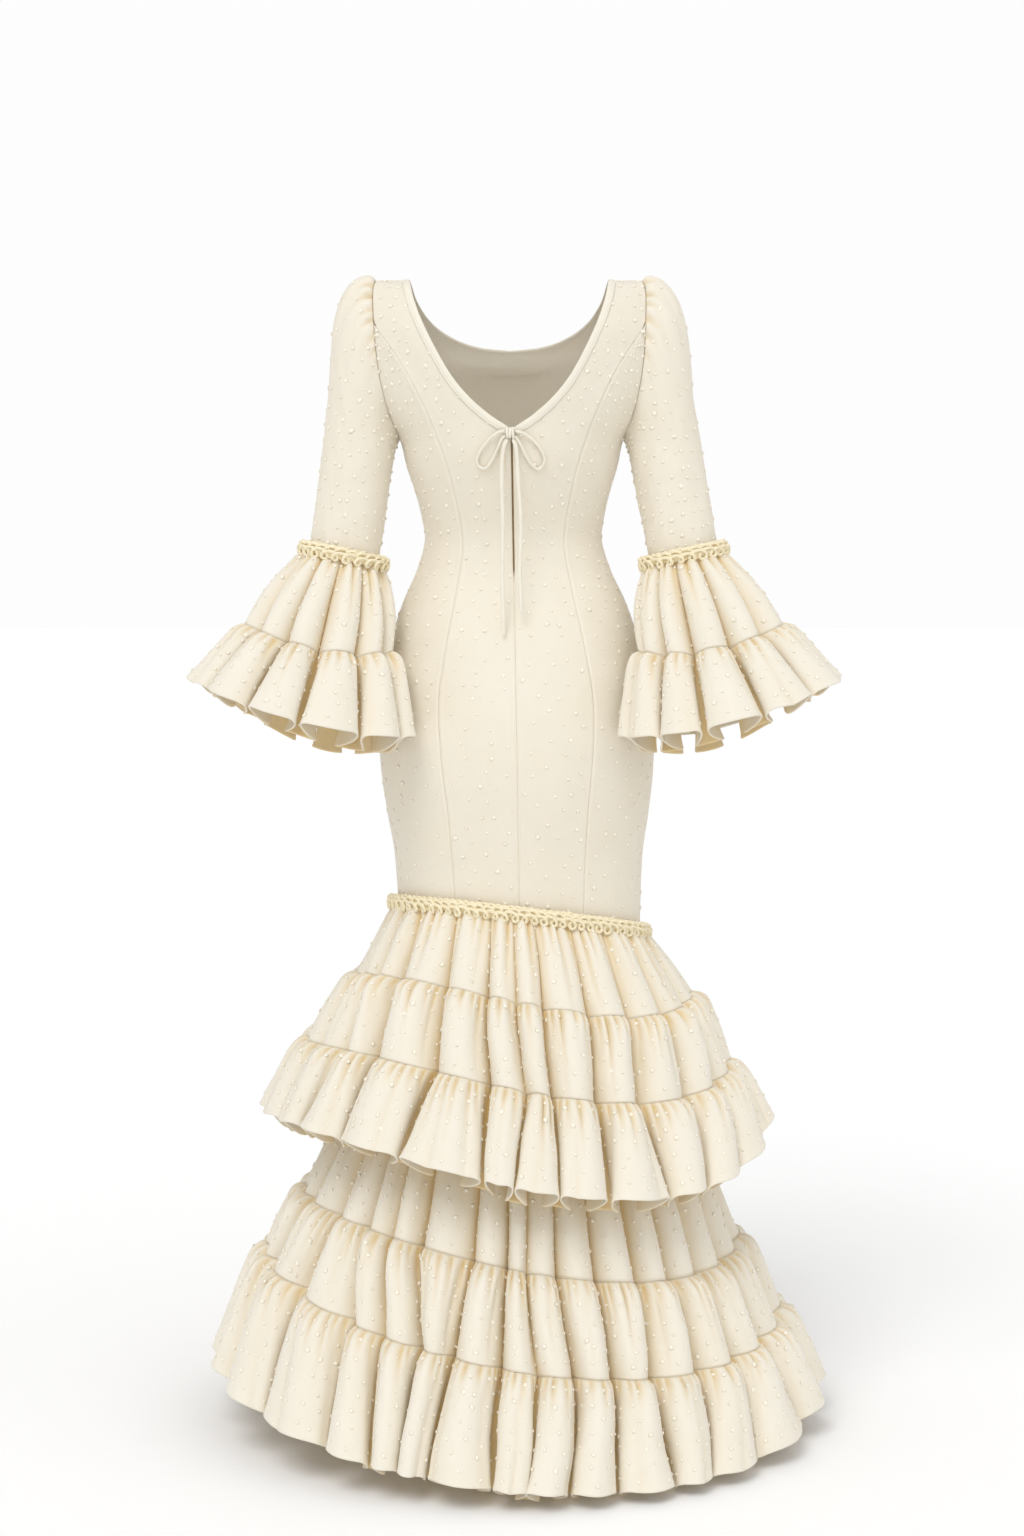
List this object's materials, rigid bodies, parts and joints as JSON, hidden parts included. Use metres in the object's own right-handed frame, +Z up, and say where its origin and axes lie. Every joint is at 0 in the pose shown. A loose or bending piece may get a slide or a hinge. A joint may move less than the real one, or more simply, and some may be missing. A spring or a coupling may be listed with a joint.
{
  "type": "flamenco dress",
  "caption": "Fitted long dress with a deep V back, princess seams, long sleeves with gathered flounces and a mermaid skirt of gathered flounces in two groups.",
  "frame": {"origin": "midway between the two shoulder seams, at their height, where the dress hangs on its wearer", "axes": "+Z up, the front of the dress faces -Y, the wearer's left is +X"},
  "size_m": [0.8571, 0.7759, 1.5194],
  "materials": {
    "crepe": "matte ivory crepe with small raised dots",
    "lace_trim": "ribbed ivory lace strip, gathered into curls",
    "binding": "plain ivory bias binding with an edge stitch",
    "tie_cord": "soft ivory rouleau cord",
    "zip": "dark brown coil zip"
  },
  "bodies": {
    "root": {"back_left": "crepe", "back_right": "crepe", "back_side_left": "crepe", "back_side_right": "crepe", "front_centre": "crepe", "front_side_left": "crepe", "front_side_right": "crepe", "base_skirt": "crepe", "upper_flounce_1": "crepe", "upper_flounce_2": "crepe", "upper_flounce_3": "crepe", "lower_flounce_1": "crepe", "lower_flounce_2": "crepe", "lower_flounce_3": "crepe", "sleeve_left": "crepe", "sleeve_right": "crepe", "sleeve_flounce_upper_left": "crepe", "sleeve_flounce_upper_right": "crepe", "sleeve_flounce_lower_left": "crepe", "sleeve_flounce_lower_right": "crepe", "hip_trim": "lace_trim", "sleeve_trim_left": "lace_trim", "sleeve_trim_right": "lace_trim", "neck_binding": "binding", "zip": "zip", "bow_knot": "tie_cord", "bow_loop_left": "tie_cord", "bow_loop_right": "tie_cord", "tie_end_left": "tie_cord", "tie_end_right": "tie_cord"}
  },
  "joints": []
}
